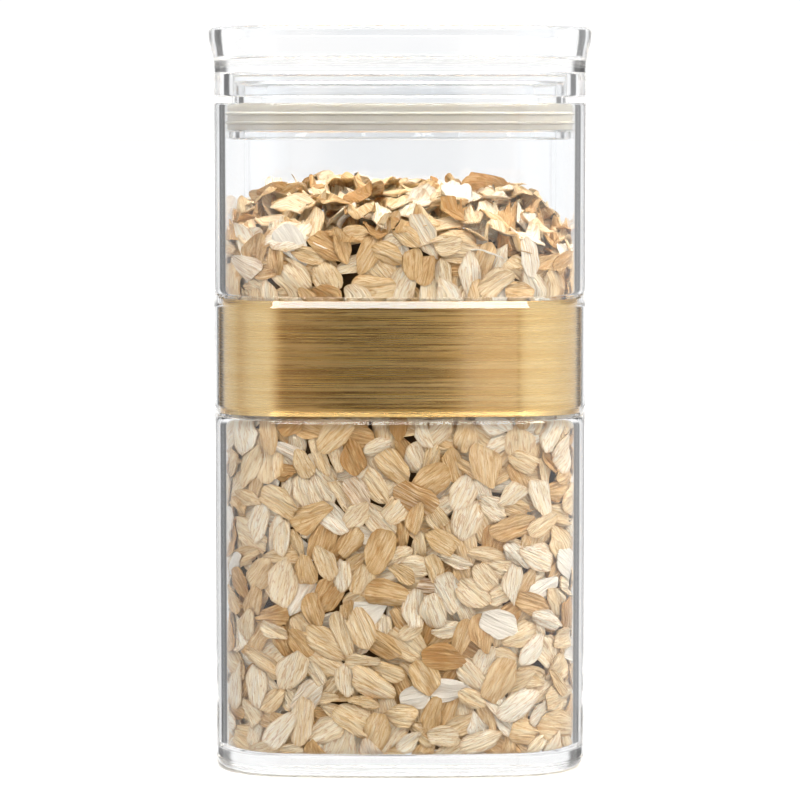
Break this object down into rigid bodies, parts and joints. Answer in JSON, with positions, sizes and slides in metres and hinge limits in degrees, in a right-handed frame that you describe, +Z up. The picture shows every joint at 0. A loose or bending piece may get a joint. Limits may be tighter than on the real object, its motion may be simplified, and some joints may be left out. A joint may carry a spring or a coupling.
{
  "type": "dry food canister",
  "caption": "Tall clear rounded-square food canister with a press-in gasketed lid, a flared tray top, a brushed gold band round its middle and a fill of rolled oats.",
  "frame": {"origin": "middle of the canister's flat base, on the surface it stands on", "axes": "+Z up along the canister's height and the lid's lift, -Y towards the front, +X to the right seen from the front"},
  "size_m": [0.1032, 0.1032, 0.1932],
  "materials": {
    "clear_acrylic": "clear gloss",
    "brushed_gold_sheet": "satin brushed",
    "beige_silicone": "satin",
    "rolled_oats": "matte"
  },
  "bodies": {
    "canister": {"canister_body": "clear_acrylic", "gold_band": "brushed_gold_sheet", "band_cover": "clear_acrylic", "rolled_oats": "rolled_oats"},
    "lid": {"lid_shell": "clear_acrylic", "lid_plug": "clear_acrylic", "lid_gasket": "beige_silicone"}
  },
  "joints": [
    {"name": "lid_lift", "type": "slide", "parent": "canister", "child": "lid", "axis": [0, 0, 1], "range_m": [0, 0.06]}
  ]
}
